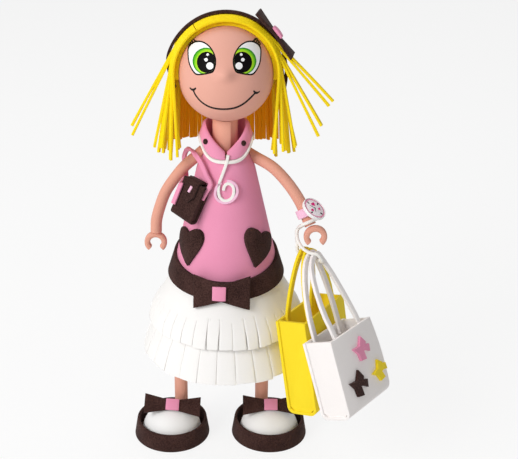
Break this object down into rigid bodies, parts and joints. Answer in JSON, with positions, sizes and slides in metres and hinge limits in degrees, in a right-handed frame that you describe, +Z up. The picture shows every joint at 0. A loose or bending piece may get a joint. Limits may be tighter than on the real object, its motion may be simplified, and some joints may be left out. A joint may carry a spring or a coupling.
{
  "type": "foam doll",
  "caption": "Standing craft doll of cut foam sheet with a fringed skirt, strip hair, a shoulder bag, a wrist watch and shopping bags hung from one wrist.",
  "frame": {"origin": "middle of the bounding box in plan, at the level of the soles", "axes": "+Z up, the doll faces -Y, its own right hand is on -X"},
  "size_m": [0.183, 0.1572, 0.331],
  "materials": {
    "skin_foam": "matte fine-grained foam sheet",
    "pink_foam": "matte fine-grained foam sheet",
    "brown_foam": "matte fine-grained foam sheet",
    "white_foam": "matte fine-grained foam sheet",
    "yellow_foam": "matte fine-grained foam sheet",
    "shoe_white": "matte foam over a polystyrene half egg",
    "white_strip": "matte cut foam strip",
    "eye_print": "printed, satin",
    "polystyrene": "expanded polystyrene, matte",
    "dowel_wood": "plain wood"
  },
  "bodies": {
    "figure": {"right_shoe_tray": "brown_foam", "right_shoe_toe": "shoe_white", "right_shoe_bow": "brown_foam", "right_shoe_knot": "pink_foam", "right_leg": "skin_foam", "right_leg_dowel": "dowel_wood", "right_heart_pocket": "brown_foam", "right_collar_button": "brown_foam", "left_shoe_tray": "brown_foam", "left_shoe_toe": "shoe_white", "left_shoe_bow": "brown_foam", "left_shoe_knot": "pink_foam", "left_leg": "skin_foam", "left_leg_dowel": "dowel_wood", "left_heart_pocket": "brown_foam", "left_collar_button": "brown_foam", "body_core": "polystyrene", "blouse": "pink_foam", "skirt_upper_tier": "white_foam", "skirt_lower_tier": "white_foam", "belt": "brown_foam", "belt_bow": "brown_foam", "belt_bow_knot": "pink_foam", "neck_wrap": "skin_foam", "neck_dowel": "dowel_wood", "collar": "pink_foam", "necklace": "white_strip"},
    "head": {"head_core": "polystyrene", "face_skin": "skin_foam", "right_eye": "eye_print", "left_eye": "eye_print", "hair_cap": "yellow_foam", "fringe_left": "yellow_foam", "fringe_right": "yellow_foam", "hair_left": "yellow_foam", "hair_right": "yellow_foam", "hair_back": "yellow_foam", "headband": "brown_foam", "headband_bow": "brown_foam", "headband_bow_knot": "pink_foam"},
    "pendant": {"pendant": "white_strip"},
    "right_arm": {"right_arm": "skin_foam", "right_hand": "skin_foam"},
    "handbag": {"purse": "brown_foam", "purse_strap": "pink_foam"},
    "handbag_flap": {"purse_flap": "brown_foam"},
    "left_arm": {"left_arm": "skin_foam", "left_hand": "skin_foam", "watch_strap": "pink_foam", "watch_case": "white_foam"},
    "carry_loop": {"carry_loop": "white_strip"},
    "yellow_shopping_bag": {"yellow_bag": "yellow_foam", "yellow_bag_front_handle": "yellow_foam", "yellow_bag_back_handle": "yellow_foam"},
    "white_shopping_bag": {"white_bag": "white_foam", "white_bag_front_handle": "white_foam", "white_bag_back_handle": "white_foam", "pink_ribbon": "pink_foam", "yellow_ribbon": "yellow_foam", "brown_ribbon": "brown_foam"}
  },
  "joints": [
    {"name": "head_turn", "type": "hinge", "parent": "figure", "child": "head", "pos_m": [-0.02178, 0.01902, 0.255], "axis": [0, 0, 1], "range_deg": [-15, 15]},
    {"name": "pendant_swing", "type": "hinge", "parent": "figure", "child": "pendant", "pos_m": [-0.02178, 0, 0.2332], "axis": [-1, 0, 0], "range_deg": [0, 25]},
    {"name": "right_arm_swing", "type": "hinge", "parent": "figure", "child": "right_arm", "pos_m": [-0.04228, 0.01902, 0.2259], "axis": [-1, 0, 0], "range_deg": [0, 24]},
    {"name": "handbag_swing", "type": "hinge", "parent": "right_arm", "child": "handbag", "pos_m": [-0.04578, 0.01962, 0.2309], "axis": [-1, 0, 0], "range_deg": [0, 7]},
    {"name": "handbag_flap_hinge", "type": "hinge", "parent": "handbag", "child": "handbag_flap", "pos_m": [-0.04257, 0.00544, 0.21342], "axis": [-0.8721, 0.4637, 0.1564], "range_deg": [0, 40]},
    {"name": "left_arm_swing", "type": "hinge", "parent": "figure", "child": "left_arm", "pos_m": [-0.00128, 0.01902, 0.2259], "axis": [-1, 0, 0], "range_deg": [0, 30]},
    {"name": "carry_loop_swing", "type": "hinge", "parent": "left_arm", "child": "carry_loop", "pos_m": [0.03322, -0.00668, 0.19], "axis": [0.8191, -0.5736, 0], "range_deg": [-4, 4]},
    {"name": "yellow_bag_swing", "type": "hinge", "parent": "carry_loop", "child": "yellow_shopping_bag", "pos_m": [0.03597, -0.01253, 0.16387], "axis": [0.8191, -0.5736, 0], "range_deg": [-5, 5]},
    {"name": "white_bag_swing", "type": "hinge", "parent": "carry_loop", "child": "white_shopping_bag", "pos_m": [0.03597, -0.01253, 0.16387], "axis": [0.8191, -0.5736, 0], "range_deg": [-5, 5]}
  ]
}
